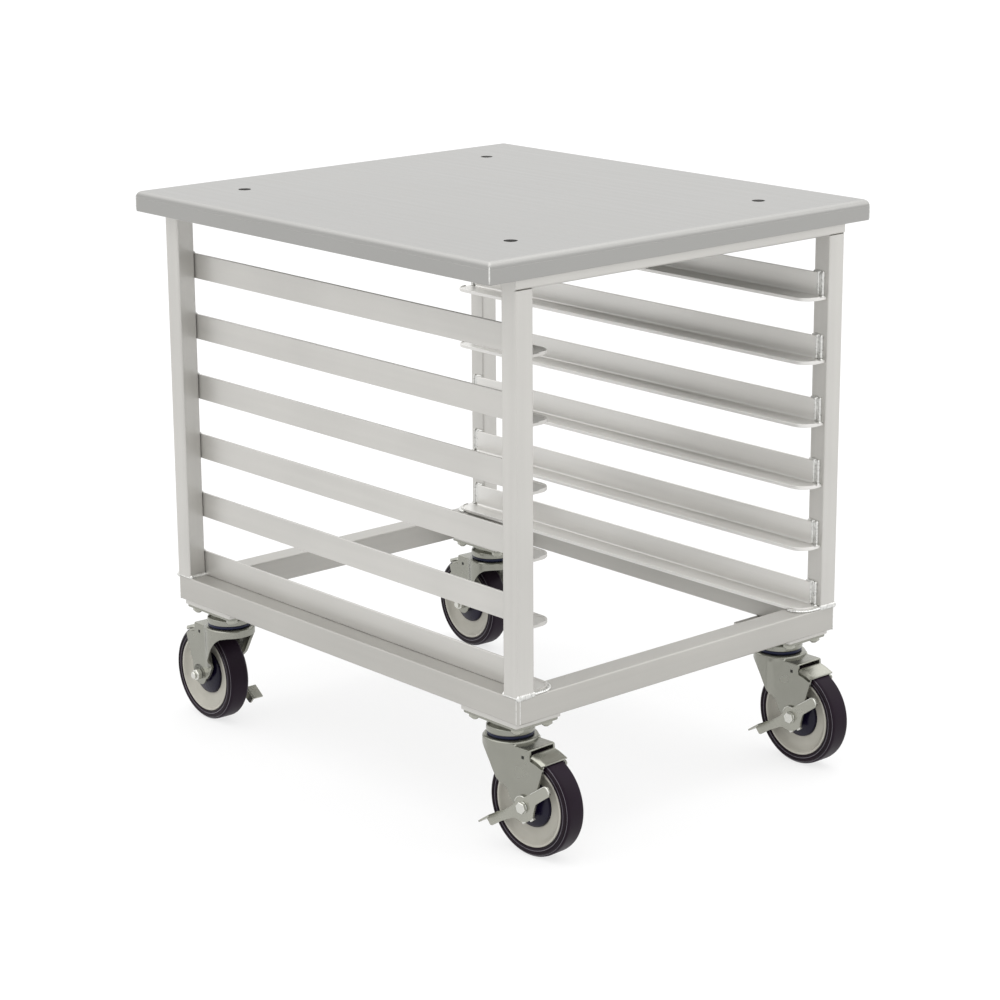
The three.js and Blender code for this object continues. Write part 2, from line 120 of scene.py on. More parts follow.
def streaked_metal(name, color, roughness, stretch, contrast=0.05, fine=0.1, metallic=0.65):
    """Drawn or brushed metal: faint streaks along one axis over soft cloudy patches."""
    material, tree, shader = new_material(name, color, metallic, roughness)
    cloud = noise(tree, 7, 3)
    streak = noise(tree, 90, 4, stretch)
    mixed = tree.nodes.new("ShaderNodeMath")
    mixed.operation = "MULTIPLY_ADD"
    mixed.inputs[1].default_value = 0.5
    half_cloud = tree.nodes.new("ShaderNodeMath")
    half_cloud.operation = "MULTIPLY"
    half_cloud.inputs[1].default_value = 0.5
    tree.links.new(cloud, half_cloud.inputs[0])
    tree.links.new(streak, mixed.inputs[0])
    tree.links.new(half_cloud.outputs["Value"], mixed.inputs[2])
    blend = mixed.outputs["Value"]
    tint = ramp(tree, blend, shaded(color, 1 - contrast), shaded(color, 1 + contrast), 0.35, 0.65)
    tree.links.new(tint, shader.inputs["Base Color"])
    tree.links.new(spread(tree, streak, roughness - 0.05, roughness + 0.07), shader.inputs["Roughness"])
    bump(tree, shader, streak, fine, 0.0002)
    return material


ALUMINIUM = (0.53, 0.52, 0.495)
# Painted light: a lighter copy of the frame aluminium for the right-hand slides, standing in for the light on
# their inner faces.
PAINTED_LIGHT_SLIDE_ALUMINIUM = (0.70, 0.69, 0.665)
# Painted shade: a darker, less metallic copy of the frame aluminium for the base rails and corner lands,
# standing in for the low frame being less lit than the legs.
PAINTED_SHADE_BASE_ALUMINIUM = (0.415, 0.405, 0.38)
STAINLESS = (0.355, 0.352, 0.34)
SHORT = 0.03  # texture scale along the streaks
aluminium_x = streaked_metal("satin_aluminium_along_x", ALUMINIUM, 0.36, (SHORT, 1, 1))
aluminium_y = streaked_metal("satin_aluminium_along_y", ALUMINIUM, 0.36, (1, SHORT, 1))
aluminium_z = streaked_metal("satin_aluminium_along_z", ALUMINIUM, 0.36, (1, 1, SHORT))
painted_light_slide_metal = streaked_metal("slide_aluminium_painted_light", PAINTED_LIGHT_SLIDE_ALUMINIUM, 0.33, (1, SHORT, 1))
painted_shade_base_metal_x = streaked_metal("base_aluminium_painted_shade_along_x", PAINTED_SHADE_BASE_ALUMINIUM, 0.38, (SHORT, 1, 1), metallic=0.45)
painted_shade_base_metal_y = streaked_metal("base_aluminium_painted_shade_along_y", PAINTED_SHADE_BASE_ALUMINIUM, 0.38, (1, SHORT, 1), metallic=0.45)
stainless = streaked_metal("brushed_stainless", STAINLESS, 0.34, (1, SHORT, 1), 0.012, 0.03, 0.92)


def weld_metal():
    material, tree, shader = new_material("aluminium_weld", (0.68, 0.68, 0.66), 0.8, 0.3)
    grain = noise(tree, 260, 5)
    tree.links.new(ramp(tree, grain, (0.52, 0.52, 0.50), (0.78, 0.78, 0.76)), shader.inputs["Base Color"])
    tree.links.new(spread(tree, grain, 0.22, 0.45), shader.inputs["Roughness"])
    bump(tree, shader, grain, 0.5, 0.0006)
    return material


def zinc_metal(name, color):
    material, tree, shader = new_material(name, color, 0.88, 0.26)
    cloud = noise(tree, 30, 2)
    tint = ramp(tree, cloud, shaded(color, 0.97), shaded(color, 1.03))
    tree.links.new(tint, shader.inputs["Base Color"])
    tree.links.new(spread(tree, cloud, 0.24, 0.29), shader.inputs["Roughness"])
    bump(tree, shader, noise(tree, 250, 2), 0.03, 0.0002)
    return material


def moulded(name, color, lighter, roughness, grain_scale, **sockets):
    material, tree, shader = new_material(name, color, 0.0, roughness, **sockets)
    cloud = noise(tree, 25, 4)
    tree.links.new(ramp(tree, cloud, color, lighter), shader.inputs["Base Color"])
    tree.links.new(spread(tree, cloud, roughness - 0.05, roughness + 0.08), shader.inputs["Roughness"])
    bump(tree, shader, noise(tree, grain_scale, 3), 0.1, 0.0002)
    return material


weld = weld_metal()
zinc = zinc_metal("zinc_plate", (0.29, 0.29, 0.255))
lever_zinc = zinc_metal("lever_zinc_plate", (0.37, 0.37, 0.325))
# Bright zinc: the axle bolts' lighter plating, and painted highlight on the brake levers' rims and tabs.
bright_zinc_and_painted_highlight = zinc_metal("bright_zinc_plate_and_painted_highlight", (0.62, 0.62, 0.58))
seal_plastic = moulded("navy_seal", (0.002, 0.004, 0.024), (0.004, 0.008, 0.042), 0.35, 500,
                       Specular_IOR_Level=0.3)
core_plastic = moulded("grey_wheel_core", (0.36, 0.347, 0.30), (0.42, 0.405, 0.355), 0.45, 500)
hub_plastic = moulded("navy_hub", (0.003, 0.002, 0.010), (0.006, 0.004, 0.018), 0.24, 500,
                      Specular_IOR_Level=0.25)
tyre_rubber = moulded("dark_tyre", (0.006, 0.003, 0.006), (0.011, 0.005, 0.010), 0.34, 700,
                      Specular_IOR_Level=0.12)
tread_rubber = moulded("tyre_tread", (0.009, 0.0045, 0.009), (0.014, 0.008, 0.015), 0.42, 700,
                       Specular_IOR_Level=0.1)
# Painted highlight: the ridges' base colour is many times lighter than the rubber, standing in for the bright
# lines on the tyre's shoulder; their gloss is real.
painted_highlight_tyre_ridge = moulded("glossy_tyre_ridge_painted_highlight", (0.06, 0.052, 0.066), (0.10, 0.088, 0.108), 0.2, 700,
                     Specular_IOR_Level=0.9)
painted_shade_gap = moulded("painted_shade_gap", (0.006, 0.006, 0.005), (0.01, 0.01, 0.008), 0.8, 500)


# ---------------------------------------------------------------- shapes, in millimetres
def solid(verts, faces):
    shape = bmesh.new()
    made = [shape.verts.new(point) for point in verts]
    for face in faces:
        shape.faces.new([made[index] for index in face])
    bmesh.ops.recalc_face_normals(shape, faces=shape.faces)
    return shape


def rounded(shape, width, segments=2, least=35):
    """Rounds every edge sharper than an angle, and returns the same shape."""
    limit = math.radians(least)
    edges = [edge for edge in shape.edges if len(edge.link_faces) == 2 and edge.calc_face_angle() > limit]
    bmesh.ops.bevel(shape, geom=edges, offset=width, segments=segments, profile=0.5,
                    affect="EDGES", clamp_overlap=True)
    return shape


def loft(rings, ends=True):
    """Skins closed rings that have the same number of points."""
    count = len(rings[0])
    verts = [point for ring in rings for point in ring]
    faces = []
    for row in range(len(rings) - 1):
        for column in range(count):
            after = (column + 1) % count
            low = row * count
            high = low + count
            faces.append((low + column, low + after, high + after, high + column))
    if ends:
        faces.append(tuple(range(count)))
        faces.append(tuple(range(len(verts) - count, len(verts))))
    return solid(verts, faces)


AXES = {
    "X": lambda a, b, c: (c, a, b),
    "Y": lambda a, b, c: (a, c, b),
    "Z": lambda a, b, c: (a, b, c),
}


def prism(outline, low, high, axis):
    """An outline in the other two axes, drawn out along one axis."""
    put = AXES[axis]
    return loft([[put(a, b, end) for a, b in outline] for end in (low, high)])


def block(x0, x1, y0, y1, z0, z1):
    return prism([(x0, y0), (x1, y0), (x1, y1), (x0, y1)], z0, z1, "Z")


def lathe(profile, axis, centre=(0, 0, 0), sides=48, closed=True):
    """A profile of (radius, height along the axis) turned about it."""
    put = AXES[axis]
    rings = []
    for step in range(sides):
        angle = 2 * math.pi * step / sides
        ring = []
        for radius, height in profile:
            point = put(radius * math.cos(angle), radius * math.sin(angle), height)
            ring.append(tuple(p + c for p, c in zip(point, centre)))
        rings.append(ring)
    count = len(profile)
    verts = [point for ring in rings for point in ring]
    faces = []
    spans = count if closed else count - 1
    for step in range(sides):
        low = step * count
        high = ((step + 1) % sides) * count
        for column in range(spans):
            after = (column + 1) % count
            faces.append((low + column, low + after, high + after, high + column))
    return solid(verts, faces)


def mirrored(profile):
    return profile + [(radius, -height) for radius, height in reversed(profile)]


def arc(centre, radius, start, end, steps):
    """Points on an arc, angles in degrees."""
    points = []
    for step in range(steps + 1):
        angle = math.radians(start + (end - start) * step / steps)
        points.append((centre[0] + radius * math.cos(angle), centre[1] + radius * math.sin(angle)))
    return points


def curve(start, control, end, steps):
    points = []
    for step in range(steps + 1):
        t = step / steps
        weights = ((1 - t) ** 2, 2 * t * (1 - t), t ** 2)
        points.append(tuple(sum(w * p[k] for w, p in zip(weights, (start, control, end))) for k in (0, 1)))
    return points


def tube_outline(width, height, corner, middle=(0, 0), steps=4):
    a, b = width / 2 - corner, height / 2 - corner
    points = []
    for quarter, (sign_a, sign_b) in enumerate([(1, -1), (1, 1), (-1, 1), (-1, -1)]):
        start = -90 + 90 * quarter
        points += arc((middle[0] + sign_a * a, middle[1] + sign_b * b), corner, start, start + 90, steps)
    return points


def bead(path, wide, tall, up=(0, 0, 1), ripple=0.14, period=2.4, sides=10):
    """A weld bead along a path: an oval rope with ripples, rounded off at its ends."""
    points = [Vector(point) for point in path]
    lengths = [0]
    for first, second in zip(points, points[1:]):
        lengths.append(lengths[-1] + (second - first).length)
    total = lengths[-1]
    count = max(6, int(total / (period / 4)))
    rings = []
    for step in range(count + 1):
        along = total * step / count
        index = max(i for i, length in enumerate(lengths[:-1]) if length <= along + 1e-9)
        span = lengths[index + 1] - lengths[index]
        part = (along - lengths[index]) / span
        here = points[index].lerp(points[index + 1], part)
        ahead = points[min(index + 2, len(points) - 1)] - points[index]
        direction = ahead.normalized()
        side = direction.cross(Vector(up)).normalized()
        lift = side.cross(direction)
        ends = min(1, math.sqrt(max(0.02, min(along, total - along) / (wide / 2))))
        swell = ends * (1 + ripple * math.cos(2 * math.pi * along / period))
        ring = []
        for corner in range(sides):
            angle = 2 * math.pi * corner / sides
            out = side * (math.cos(angle) * wide / 2 * swell) + lift * (math.sin(angle) * tall / 2 * swell)
            ring.append(tuple(here + out))
        rings.append(ring)
    return loft(rings)


def placed(shapes, matrix):
    for shape in shapes:
        shape.transform(matrix)
    return shapes


def piece(name, shapes, material, body, replaces=(), place=None, smooth=38):
    """Joins shapes into one object that rides on a body."""
    whole = bmesh.new()
    for shape in shapes:
        part = bpy.data.meshes.new("part")
        shape.to_mesh(part)
        shape.free()
        whole.from_mesh(part)
        bpy.data.meshes.remove(part)
    whole.transform(Matrix.Scale(MM, 4))
    if place is not None:
        whole.transform(place)
    limit = math.radians(smooth)
    for face in whole.faces:
        face.smooth = True
    for edge in whole.edges:
        edge.smooth = len(edge.link_faces) == 2 and edge.calc_face_angle() < limit
    mesh = bpy.data.meshes.new(name)
    whole.to_mesh(mesh)
    whole.free()
    thing = bpy.data.objects.new(name, mesh)
    bpy.context.scene.collection.objects.link(thing)
    mesh.materials.append(material)
    even = thing.modifiers.new("even_normals", "WEIGHTED_NORMAL")
    even.keep_sharp = True
    even.weight = 80
    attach(thing, body)
    if replaces:
        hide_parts(*replaces)
    return thing


# ---------------------------------------------------------------- frame
TUBE_CORNER = 2.6
GAP = 0.3  # the CAD leaves it between welded pieces


def build_leg(end, side):
    node = f"leg_{end}_{side}"
    lo, hi = node_box(node)
    middle = (lo + hi) / 2
    section = tube_outline(hi.x - lo.x, hi.y - lo.y, TUBE_CORNER, (middle.x, middle.y), 5)
    tube = prism(section, lo.z - GAP, hi.z + GAP, "Z")
    piece(node + "_tube", [tube], aluminium_z, "rack", [node])


def build_top_rail(end):
    node = f"top_rail_{end}"
    lo, hi = node_box(node)
    section = tube_outline(hi.y - lo.y, hi.z - lo.z, 3.5, ((lo.y + hi.y) / 2, (lo.z + hi.z) / 2), 5)
    tube = prism(section, lo.x, hi.x, "X")
    piece(node + "_tube", [tube], aluminium_x, "rack", [node])


MITRE_NOTCH = 3.6  # left at the outer corner for the weld


def build_base_rail(name):
    """A rail whose two ends are cut at 45 degrees on its own side of the corner."""
    node = f"base_rail_{name}"
    lo, hi = node_box(node)
    along_x = name in ("front", "back")
    outside = {"front": lo.y, "back": hi.y, "left": lo.x, "right": hi.x}[name]
    half = (hi.x if along_x else hi.y) + GAP
    cross = (lo.y + hi.y) / 2 if along_x else (lo.x + hi.x) / 2
    width = (hi.y - lo.y) if along_x else (hi.x - lo.x)
    section = tube_outline(width, hi.z - lo.z, TUBE_CORNER, (cross, (lo.z + hi.z) / 2), 5)
    rings = []
    for sign in (-1, 1):
        ring = []
        for across, height in section:
            reach = sign * (half - max(MITRE_NOTCH, abs(outside - across)))
            ring.append((reach, across, height) if along_x else (across, reach, height))
        rings.append(ring)
    # painted shade: the base rails take the darker copy of the aluminium
    material = painted_shade_base_metal_x if along_x else painted_shade_base_metal_y
    piece(node + "_tube", [loft(rings)], material, "rack", [node])


def build_corner_welds():
    """Ground weld down each mitred corner of the base: a flat land between two fine ridges."""
    lo, hi = node_box("base_rail_front")
    outer_x, outer_y = hi.x + GAP, abs(lo.y) + GAP
    notch = MITRE_NOTCH
    lands, ridges = [], []
    for sx in (-1, 1):
        for sy in (-1, 1):
            x, y = sx * outer_x, sy * outer_y
            land = [(x - sx * notch, y), (x - sx * notch * 0.42, y - sy * notch * 0.42), (x, y - sy * notch),
                    (x - sx * notch * 2, y - sy * notch * 2)]
            lands.append(prism(land, lo.z + 0.4, hi.z - 0.4, "Z"))
            for ridge_x, ridge_y in ((x - sx * notch, y - sy * 0.5), (x - sx * 0.5, y - sy * notch)):
                path = [(ridge_x, ridge_y, lo.z + 1), (ridge_x, ridge_y, hi.z - 0.6)]
                ridges.append(bead(path, 1.15, 1.15, up=(1, 0, 0), ripple=0.02, period=5))
    # painted shade: the lands take the darker base copy of the aluminium
    piece("base_corner_lands", lands, painted_shade_base_metal_x, "rack")
    piece("base_corner_welds", ridges, weld, "rack")


EDGE_BEND = 7.0
CORNER_TURN = 3.0
SHEET = 1.5
SOFT_EDGE = 0.25
SKIRT_GROOVE = 0.35  # a fine line where the bend meets the skirt
HOLE_X, HOLE_Y, HOLE_RADIUS = 199.0, 248.5, 8.0
COLLAR_WALL, COLLAR_DEPTH = 1.4, 11.0  # painted shade: a near-black ring under each hole stands in for the shadow inside it


def top_ring(inset, height, half_x, half_y, steps=6):
    """Plan of the folded sheet, pulled in by inset, at one height."""
    corner = max(CORNER_TURN - inset * 0.2, 0.8)
    plan = tube_outline(2 * (half_x - inset), 2 * (half_y - inset), corner, (0, 0), steps)
    return [(x, y, height) for x, y in plan]


def hole_plate(half_x, half_y, top, holes, radius):
    """Flat deck with round holes: a grid whose lines pass the holes, each hole's cell fanned to its rim."""
    reach = radius + 6
    cut_x = sorted({-half_x, half_x} | {x + s * reach for x, _ in holes for s in (-1, 1)})
    cut_y = sorted({-half_y, half_y} | {y + s * reach for _, y in holes for s in (-1, 1)})
    shape = bmesh.new()
    sides = 32
    for x0, x1 in zip(cut_x, cut_x[1:]):
        for y0, y1 in zip(cut_y, cut_y[1:]):
            inside = [h for h in holes if x0 < h[0] < x1 and y0 < h[1] < y1]
            if not inside:
                corners = ((x0, y0), (x1, y0), (x1, y1), (x0, y1))
                shape.faces.new([shape.verts.new((x, y, top)) for x, y in corners])
                continue
            x, y = inside[0]
            rim, lip, square = [], [], []
            for step in range(sides):
                angle = 2 * math.pi * step / sides
                c, s = math.cos(angle), math.sin(angle)
                stretch = reach / max(abs(c), abs(s))
                square.append(shape.verts.new((x + c * stretch, y + s * stretch, top)))
                rim.append(shape.verts.new((x + c * radius, y + s * radius, top)))
                lip.append(shape.verts.new((x + c * radius, y + s * radius, top - SHEET)))
            for step in range(sides):
                after = (step + 1) % sides
                shape.faces.new((square[step], square[after], rim[after], rim[step]))
                shape.faces.new((rim[step], rim[after], lip[after], lip[step]))
    bmesh.ops.remove_doubles(shape, verts=shape.verts, dist=0.001)
    return shape


def build_top():
    lo, hi = node_box("top_sheet")
    half_x, half_y = hi.x, hi.y
    holes = [(sx * HOLE_X, sy * HOLE_Y) for sx in (-1, 1) for sy in (-1, 1)]
    bend = hi.z - EDGE_BEND
    outside = [(SHEET, lo.z), (SOFT_EDGE, lo.z), (0, lo.z + SOFT_EDGE), (0, bend - 1.6)]
    outside += [(SKIRT_GROOVE, bend - 1.3), (SKIRT_GROOVE, bend - 0.9)]
    rings = [top_ring(inset, height, half_x, half_y) for inset, height in outside]
    for step in range(9):
        angle = math.radians(90 * step / 8)
        inset = EDGE_BEND * (1 - math.cos(angle))
        rings.append(top_ring(inset, bend + EDGE_BEND * math.sin(angle), half_x, half_y))
    skirt = loft(rings, ends=False)
    inner = [top_ring(SHEET, height, half_x, half_y) for height in (lo.z, bend)]
    inner.append(top_ring(EDGE_BEND, hi.z - SHEET, half_x, half_y))
    inside = loft(inner, ends=False)
    deck_x, deck_y = half_x - EDGE_BEND, half_y - EDGE_BEND
    deck = hole_plate(deck_x, deck_y, hi.z, holes, HOLE_RADIUS)
    under = hole_plate(deck_x, deck_y, hi.z - SHEET, holes, HOLE_RADIUS)
    for face in under.faces:
        face.normal_flip()
    piece("top_sheet_skin", [skirt, inside, deck, under], stainless, "rack", ["top_sheet"])
    rim, low, high = HOLE_RADIUS + COLLAR_WALL, hi.z - COLLAR_DEPTH, hi.z - SHEET
    profile = [(HOLE_RADIUS, high), (HOLE_RADIUS, low), (rim, low), (rim, high)]
    collars = [lathe(profile, "Z", (x, y, 0), 32) for x, y in holes]
    # Painted shade: near-black collars under the deck's holes stand in for the shadow inside them.
    piece("top_hole_painted_shade_collars", collars, painted_shade_gap, "rack")
    seams = []
    for sx in (-1, 1):
        for sy in (-1, 1):
            x, y = sx * (half_x - 1.0), sy * (half_y - 1.0)
            seams.append(bead([(x, y, lo.z + 1), (x, y, bend + 2)], 1.9, 1.9, (1, 0, 0), 0.02, 5))
    piece("top_corner_seams", seams, weld, "rack")


# ---------------------------------------------------------------- slides
LEDGE_SHEET = 3.2
LEDGE_END_RADIUS = 20.0
BEAD_WIDE = 3.4
BEAD_TALL = 1.2
FLANGE_INSET = 12.0  # flange's end behind the ledge's end
ROOT = LEDGE_SHEET + 3.0  # where the fillet between flange and ledge ends


def ledge_section(reach):
    """Ledge from the flange out to its beaded free edge, as (out, up)."""
    points = [(0, 0.6), (0.6, 0)]
    points += [(reach - 0.9, 0), (reach - 0.3, 0.3), (reach, 0.9)]
    top = LEDGE_SHEET + BEAD_TALL
    points += [(reach, top - 0.8), (reach - 0.25, top - 0.25), (reach - 0.9, top)]
    points += [(reach - BEAD_WIDE + 1.2, top), (reach - BEAD_WIDE + 0.5, top - 0.5)]
    points += [(reach - BEAD_WIDE, LEDGE_SHEET + 0.05), (0.3, LEDGE_SHEET)]
    return points


def ledge_reach(distance, full):
    """How far the ledge reaches at a distance from its end."""
    if distance >= LEDGE_END_RADIUS:
        return full
    drop = LEDGE_END_RADIUS - distance
    return full - LEDGE_END_RADIUS + math.sqrt(max(LEDGE_END_RADIUS ** 2 - drop ** 2, 0))


def slide_frame(side, level):
    lo, hi = node_box(f"slide_{side}_{level}")
    sign = -1 if side == "left" else 1
    wall = lo.x if side == "left" else hi.x
    return sign, wall, lo, hi


def build_slide(side, level):
    node = f"slide_{side}_{level}"
    sign, wall, lo, hi = slide_frame(side, level)
    full = hi.x - lo.x
    depths = [0, 0.15, 0.6, 1.3, 2.4, 4, 6, 8.5, 11.5, 15, LEDGE_END_RADIUS]
    places = [(lo.y + depth, depth) for depth in depths]
    places += [(hi.y - depth, depth) for depth in reversed(depths)]
    rings = []
    for y, depth in places:
        reach = ledge_reach(depth, full)
        rings.append([(wall - sign * out, y, lo.z + up) for out, up in ledge_section(reach)])
    ledge = loft(rings)
    tall = hi.z - lo.z
    outer = [(0, 0.3), (0, tall - 0.6), (0.6, tall), (LEDGE_SHEET - 0.6, tall), (LEDGE_SHEET, tall - 0.6)]
    outer += curve((LEDGE_SHEET, ROOT), (LEDGE_SHEET, LEDGE_SHEET), (ROOT, LEDGE_SHEET), 5)
    outer += [(ROOT, 0.3)]
    section = [(wall - sign * out, lo.z + up) for out, up in outer]
    flange = prism(section, lo.y + FLANGE_INSET, hi.y - FLANGE_INSET, "Y")
    # painted light: the right slides take the lighter copy of the aluminium
    material = aluminium_y if side == "left" else painted_light_slide_metal
    piece(node + "_angle", [ledge, flange], material, "rack", [node])


def build_slide_welds(side, level):
    """Welds where one slide meets its two legs."""
    sign, wall, lo, hi = slide_frame(side, level)
    flange_top = hi.z
    face = wall - sign * 1.0
    shapes = []
    for end, tip in ((-1, lo.y), (1, hi.y)):
        flange_end = tip - end * FLANGE_INSET
        y = flange_end + end * 3.4
        shapes.append(bead([(face, y, lo.z + 3), (face, y, flange_top + 1)], 9, 3.0, (sign, 0, 0), 0.04, 3.2))
        for away, tall in ((-3.4, 4.8), (3.6, 4.4)):
            strip = y + end * away
            edge = [(face, strip, lo.z + 2.5), (face, strip, flange_top + 2)]
            shapes.append(bead(edge, 3.8, tall, (sign, 0, 0), 0.07, 3.6))
        inner = flange_end - end * 9
        cap = [(face + sign * 0.4, y, flange_top + 0.8), (face + sign * 0.4, inner, flange_top + 0.8)]
        shapes.append(bead(cap, 3.4, 3.0, (0, 0, 1), 0.12, 3))
        root = (face - sign * 1.0, flange_end + end * 6.5, lo.z + LEDGE_SHEET + 0.6)
        toe = (root[0], root[1] + end * 4.5, root[2] - 0.8)
        shapes.append(bead([root, toe], 6.5, 3.4, (0, 0, 1), 0.1, 3))
    return shapes


def foot_welds():
    """Welds round the legs' feet, and round the ends of the lowest slides on the base."""
    shapes = []
    for side, sx in (("left", -1), ("right", 1)):
        _, wall, ledge_lo, ledge_hi = slide_frame(side, 1)
        for end, sy in (("front", -1), ("back", 1)):
            lo, hi = node_box(f"leg_{end}_{side}")
            foot = lo.z - GAP
            outer_x = hi.x if sx > 0 else lo.x
            inner_x = lo.x if sx > 0 else hi.x
            face_y = hi.y if sy > 0 else lo.y
            inside_y = lo.y if sy > 0 else hi.y
            front = [(outer_x + sx * 1.8, face_y - sy * 0.4, foot + 0.8)]
            front.append((inner_x - sx * 2, face_y - sy * 1.2, foot + 1.2))
            shapes.append(bead(front, 4.4, 7.0, (0, 0, 1), 0.16, 2.8))
            side_x = outer_x - sx * 0.4
            flank = [(side_x, face_y - sy, foot + 0.4), (side_x, inside_y, foot + 0.4)]
            shapes.append(bead(flank, 1.8, 1.8, (0, 0, 1), 0.05, 3))
            rear_y = inside_y - sy * 0.3
            inner = [(outer_x + sx * 0.6, rear_y, foot + 0.7), (inner_x - sx * 3, rear_y, foot + 0.7)]
            shapes.append(bead(inner, 5.4, 6.0, (0, 0, 1), 0.08, 3.4))
            tip = ledge_hi.y if sy > 0 else ledge_lo.y
            reach = ledge_hi.x - ledge_lo.x
            path = [(inner_x, face_y - sy * 1.6, foot + 1.2)]
            centre = (wall - sx * (reach - LEDGE_END_RADIUS), tip - sy * LEDGE_END_RADIUS)
            away = LEDGE_END_RADIUS + 1.6
            for step in range(13):
                angle = math.radians(90 * step / 12)
                x = centre[0] - sx * away * math.sin(angle)
                y = centre[1] + sy * away * math.cos(angle)
                path.append((x, y, foot + 1.0))
            shapes.append(bead(path, 5.4, 3.6, (0, 0, 1), 0.1, 3.2))
    return shapes


# ---------------------------------------------------------------- casters
def caster_place(corner):
    """Local to world: kingpin on the local Z axis, wheel behind it on -Y, lever on -X."""
    pin = JOINTS[f"caster_swivel_{corner}"]["pos_m"]
    axle = JOINTS[f"wheel_spin_{corner}"]["axis"]
    turn = math.atan2(axle[1], axle[0])
    return Matrix.Translation((pin[0], pin[1], 0)), Matrix.Rotation(turn, 4, "Z")


def axle_spot():
    """Axle in the caster's own frame, as (trail, height)."""
    pin = Vector(JOINTS["caster_swivel_front_left"]["pos_m"])
    axle = Vector(JOINTS["wheel_spin_front_left"]["pos_m"])
    return (axle - pin).to_2d().length / MM, axle.z / MM


TRAIL, AXLE_Z = axle_spot()
AXLE = (0, -TRAIL, AXLE_Z)
CROWN_TOP = 136.8
CROWN_RADIUS = 32.8
FORK_HALF = 21.0
FORK_SHEET = 2.8
PLATFORM_TOP = 132.3
PLATFORM_END = 50.0
BOLT_X, BOLT_Y = 22.25, 36.5  # plate bolts from the kingpin
SHOE_PIN = (0, -39.5, 121.5)


def plate_with_corners(width, length, corner, low, high, soft):
    return rounded(prism(tube_outline(width, length, corner, (0, 0), 5), low, high, "Z"), soft, 2, 60)


def hexagon(across, low, high, axis, centre, turn=0, dome=0.8):
    """Hexagon head or nut with its corners turned down."""
    radius = across / math.sqrt(3)
    put = AXES[axis]
    rings = []
    for inset, height in ((0, low), (0, high - dome), (0.9, high)):
        ring = []
        for step in range(6):
            angle = math.radians(60 * step + turn)
            point = put((radius - inset) * math.cos(angle), (radius - inset) * math.sin(angle), height)
            ring.append(tuple(p + c for p, c in zip(point, centre)))
        rings.append(ring)
    return rounded(loft(rings), 0.35, 2, 30)


def stud(radius, low, high, axis, centre, sides=20):
    """Bolt end with a chamfered tip at its high end."""
    tip = 0.8 if high > low else -0.8
    profile = [(0.01, low), (radius, low), (radius, high - tip), (radius - 0.8, high), (0.01, high)]
    return lathe(profile, axis, centre, sides, closed=False)


def build_mounting(corner, pin):
    pad_lo, pad_hi = node_box(f"caster_pad_{corner}")
    plate_lo, plate_hi = node_box(f"caster_plate_{corner}")
    seal_lo, seal_hi = node_box(f"swivel_seal_{corner}")
    size = pad_hi - pad_lo
    pad = plate_with_corners(size.x, size.y, 2.5, pad_lo.z, pad_hi.z + GAP, 0.8)
    piece(f"caster_pad_{corner}_plate", [pad], aluminium_y, "rack",
          [f"caster_pad_{corner}"], pin)
    size = plate_hi - plate_lo
    under = plate_hi.z - 3.0
    plate = plate_with_corners(size.x, size.y, 6, under, plate_hi.z + GAP, 0.6)
    low = seal_hi.z + GAP
    profile = [(6, low), (26.8, low), (28.0, low + 0.4), (28.5, low + 1.4), (28.5, low + 5.5)]
    profile += arc((25.0, low + 5.5), 3.5, 0, 70, 6)
    profile += [(24.2, low + 11), (24.8, under - 2.2), (26.2, under - 0.6)]
    profile += [(28.4, under + 0.2), (6, under + 0.2)]
    race = lathe(profile, "Z", sides=56)
    pin_low = plate_lo.z
    rivet = lathe([(0.01, pin_low), (7.5, pin_low), (10, pin_low + 2), (9, pin_low + 4), (6, pin_low + 4),
                   (6, low + 0.5), (0.01, low + 0.5)], "Z", sides=28, closed=False)
    piece(f"caster_plate_{corner}_pressed", [plate, race, rivet], zinc, "rack",
          [f"caster_plate_{corner}"], pin)
    ring = [(7, seal_lo.z), (26.4, seal_lo.z), (27.3, seal_lo.z + 0.4), (27.6, seal_lo.z + 1.2)]
    ring += [(27.6, seal_hi.z - 0.8), (27.2, seal_hi.z), (7, seal_hi.z)]
    piece(f"swivel_seal_{corner}_ring", [lathe(ring, "Z", sides=56)], seal_plastic, "rack",
          [f"swivel_seal_{corner}"], pin)
    bolts = []
    for x in (-BOLT_X, BOLT_X):
        for y in (-BOLT_Y, BOLT_Y):
            spot = (x, y, 0)
            washer = rounded(lathe([(4.2, under), (8.0, under), (8.0, under - 1.2), (4.2, under - 1.2)],
                                   "Z", spot, 28), 0.2, 1, 60)
            bolts += [washer, hexagon(12.7, under - 1.2, under - 6.4, "Z", spot, 15, -0.8)]
            bolts.append(stud(3.9, under - 5, under - 8.4, "Z", spot))
    piece(f"caster_bolts_{corner}", bolts, lever_zinc, "rack", place=pin)


def line_height(points):
    """A height function over Y from a list of (y, z) points in rising y."""
    def height(y):
        if y <= points[0][0]:
            return points[0][1]
        for (y0, z0), (y1, z1) in zip(points, points[1:]):
            if y0 <= y <= y1 and y1 > y0:
                return z0 + (z1 - z0) * (y - y0) / (y1 - y0)
        return points[-1][1]
    return height


def fork_lower_edge():
    points = list(reversed(curve((-57.5, 76), (-64, 92), (-70, 111), 8)))
    points += [(-56.0, AXLE_Z), (-30.0, AXLE_Z - 2), (-26.5, 58.9), (-20.5, 65.5), (-16, 73.6), (-11, 84.5)]
    points += [(-3.5, 99), (2.5, 110.2), (10.2, 119.9), (17, 124.8), (25, 126.5), (CROWN_RADIUS + 1, 126.5)]
    return line_height(points)


